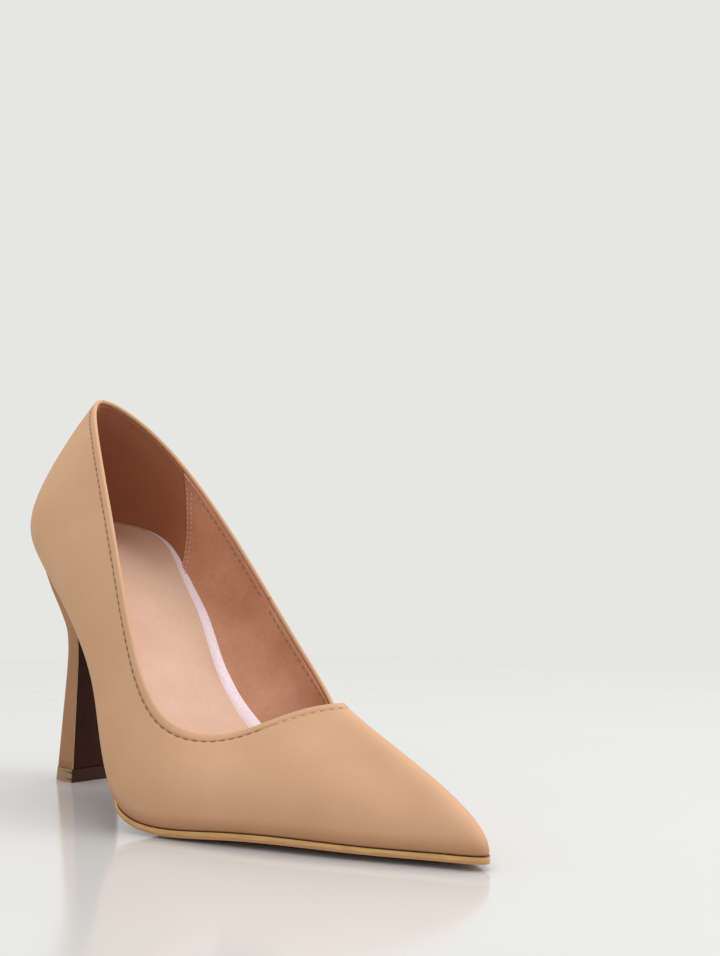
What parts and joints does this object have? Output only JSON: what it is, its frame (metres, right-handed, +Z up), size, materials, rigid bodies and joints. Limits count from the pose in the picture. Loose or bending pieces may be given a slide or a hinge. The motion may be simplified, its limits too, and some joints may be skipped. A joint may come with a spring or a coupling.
{
  "type": "high heel pump",
  "caption": "Pointed-toe high heel pump for the right foot: nubuck upper with a sweetheart throat, padded sock and flared covered heel.",
  "frame": {"origin": "on the ground under the middle of the shoe's box", "axes": "+Z up, -Y towards the toe, -X towards the outer side of the right foot"},
  "size_m": [0.0842, 0.2339, 0.148],
  "materials": {
    "nubuck": "matt tan nubuck with a fine nap",
    "lining": "smooth pinkish beige lining",
    "heel_grip": "brushed brown heel grip",
    "stiffener": "thermoplastic stiffener sheet",
    "sock": "smooth pinkish beige sock",
    "foam": "pale pink latex foam",
    "fibreboard": "cellulose insole board",
    "steel": "plain hardened steel",
    "cork": "cork filler sheet",
    "outsole": "golden tan sole sheet, burnished edge",
    "heel_plastic": "moulded heel plastic",
    "heel_covering": "matt tan covering",
    "breast_covering": "very dark brown covering",
    "top_piece": "hard taupe polyurethane"
  },
  "bodies": {
    "root": {"vamp_and_outer_quarter": "nubuck", "inner_quarter": "nubuck", "vamp_lining": "lining", "outer_quarter_lining": "lining", "inner_quarter_lining": "lining", "heel_grip_lining": "heel_grip", "toe_puff": "stiffener", "heel_counter": "stiffener", "sock_cover": "sock", "sock_foam": "foam", "insole_board": "fibreboard", "steel_shank": "steel", "shank_rivet_1": "steel", "shank_rivet_2": "steel", "bottom_filler": "cork", "outsole": "outsole", "heel_core": "heel_plastic", "heel_wrap": "heel_covering", "heel_breast_cover": "breast_covering", "heel_tip": "top_piece", "heel_tip_pin": "steel", "heel_tube": "steel", "heel_screw": "steel", "heel_nail_1": "steel", "heel_nail_2": "steel", "heel_nail_3": "steel", "heel_nail_4": "steel"}
  },
  "joints": []
}
